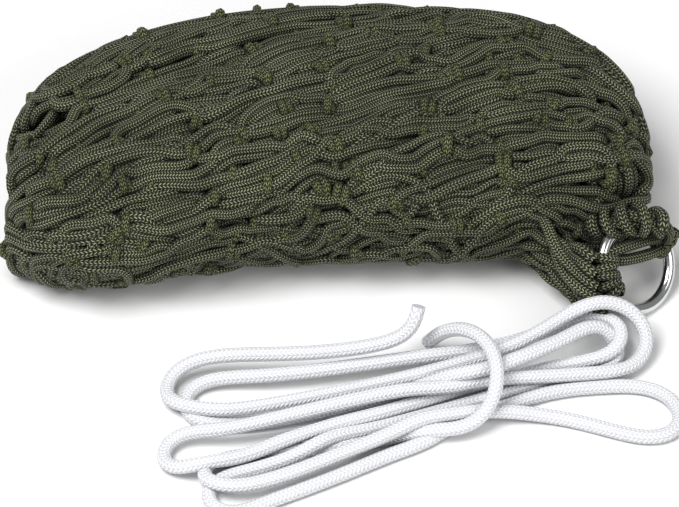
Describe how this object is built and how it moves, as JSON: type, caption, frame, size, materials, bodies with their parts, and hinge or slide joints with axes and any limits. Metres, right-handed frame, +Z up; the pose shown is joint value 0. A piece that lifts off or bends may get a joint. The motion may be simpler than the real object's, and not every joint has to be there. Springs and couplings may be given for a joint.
{
  "type": "knotted cord net",
  "caption": "Knotted cord net folded into a bundle, with a steel hanging ring at each gathered end and a tied hank of braided tie rope lying in front of it.",
  "frame": {"origin": "on the floor below the middle of the net and its rings", "axes": "+X along the bundle towards the ring that shows, +Y towards the back, +Z up"},
  "size_m": [0.278, 0.2714, 0.072],
  "materials": {
    "net_cord": "olive green tubular knitted nylon cord",
    "ring_steel": "bright plated welded steel ring",
    "tie_rope": "white braided nylon rope"
  },
  "bodies": {
    "net": {"net_fold_1": "net_cord", "net_fold_2": "net_cord", "net_fold_3": "net_cord", "net_fold_4": "net_cord", "net_fold_5": "net_cord", "net_fold_6": "net_cord", "net_fold_7": "net_cord", "net_fold_8": "net_cord", "near_clew": "net_cord", "near_neck": "net_cord", "near_whipping_turn_1": "net_cord", "near_whipping_turn_2": "net_cord", "near_whipping_turn_3": "net_cord", "near_whipping_turn_4": "net_cord", "near_lead_cord": "net_cord", "far_clew": "net_cord", "far_neck": "net_cord", "far_whipping_turn_1": "net_cord", "far_whipping_turn_2": "net_cord", "far_whipping_turn_3": "net_cord", "far_whipping_turn_4": "net_cord"},
    "near_ring": {"near_ring": "ring_steel", "near_hitch": "net_cord", "near_keeper_knot": "net_cord", "near_keeper_cord": "net_cord", "near_keeper_tail": "net_cord"},
    "far_ring": {"far_ring": "ring_steel", "far_hitch": "net_cord"},
    "tie_rope": {"tie_rope_hank": "tie_rope", "tie_rope_wrap": "tie_rope", "tie_rope_loop": "tie_rope", "tie_rope_stub": "tie_rope"}
  },
  "joints": [
    {"name": "near_ring_swing", "type": "hinge", "parent": "net", "child": "near_ring", "pos_m": [0.10475, -0.07781, 0.01975], "axis": [0.743, 0.6599, -0.1118], "range_deg": [-12, 0]},
    {"name": "far_ring_swing", "type": "hinge", "parent": "net", "child": "far_ring", "pos_m": [-0.06, 0.05414, 0.01739], "axis": [1, 0, 0], "range_deg": [0, 45]},
    {"name": "tie_rope_lift", "type": "slide", "parent": "net", "child": "tie_rope", "axis": [0, 0, 1], "range_m": [0, 0.15]}
  ]
}
